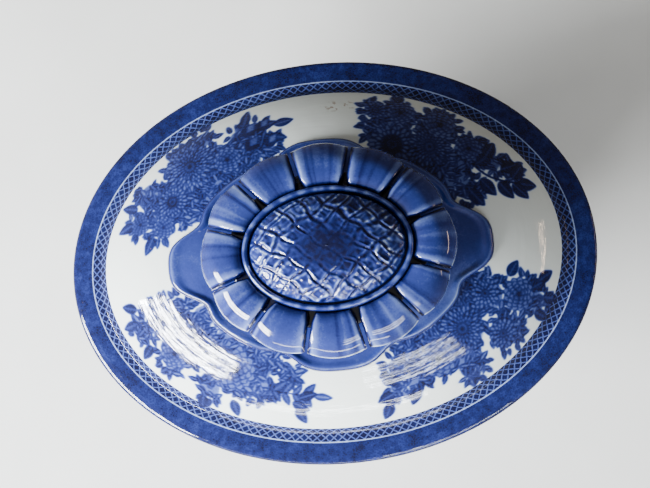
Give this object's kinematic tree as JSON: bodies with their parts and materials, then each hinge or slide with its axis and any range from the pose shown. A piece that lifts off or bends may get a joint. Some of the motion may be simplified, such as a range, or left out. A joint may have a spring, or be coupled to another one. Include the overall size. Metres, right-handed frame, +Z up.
{
  "type": "soup tureen",
  "caption": "Oval blue-and-white soup tureen with a lift-off domed cover, a large flower-shaped knob, twisted strap handles and a spreading foot ring.",
  "frame": {"origin": "middle of the foot ring's underside, on the surface the tureen stands on", "axes": "+Z up, +X along the tureen's long axis towards one handle, +Y across it"},
  "size_m": [0.33, 0.253, 0.2369],
  "materials": {
    "painted_glaze": "glossy clear glaze over white body with cobalt transfer decoration",
    "white_glaze": "glossy clear glaze over white body",
    "cobalt_wash": "glossy glaze over a brushed cobalt wash that is pale on raised edges",
    "cobalt_dark": "glossy glaze over a dark mottled cobalt ground"
  },
  "bodies": {
    "bowl": {"bowl_body": "painted_glaze", "foot_ring": "cobalt_dark", "handle_left_strap_a": "cobalt_wash", "handle_left_strap_b": "cobalt_wash", "handle_right_strap_a": "cobalt_wash", "handle_right_strap_b": "cobalt_wash", "handle_left_leaf_1": "cobalt_wash", "handle_left_leaf_2": "cobalt_wash", "handle_left_leaf_3": "cobalt_wash", "handle_left_leaf_4": "cobalt_wash", "handle_right_leaf_1": "cobalt_wash", "handle_right_leaf_2": "cobalt_wash", "handle_right_leaf_3": "cobalt_wash", "handle_right_leaf_4": "cobalt_wash"},
    "cover": {"cover_shell": "painted_glaze", "cover_flange": "white_glaze", "knob_calyx": "cobalt_wash", "knob_stem": "cobalt_dark", "knob_ridge": "cobalt_wash", "knob_boss": "cobalt_dark", "petal_01": "cobalt_wash", "petal_02": "cobalt_wash", "petal_03": "cobalt_wash", "petal_04": "cobalt_wash", "petal_05": "cobalt_wash", "petal_06": "cobalt_wash", "petal_07": "cobalt_wash", "petal_08": "cobalt_wash", "petal_09": "cobalt_wash", "petal_10": "cobalt_wash", "petal_11": "cobalt_wash", "petal_12": "cobalt_wash"}
  },
  "joints": [
    {"name": "cover_lift", "type": "slide", "parent": "bowl", "child": "cover", "axis": [0, 0, 1], "range_m": [0, 0.15]}
  ]
}
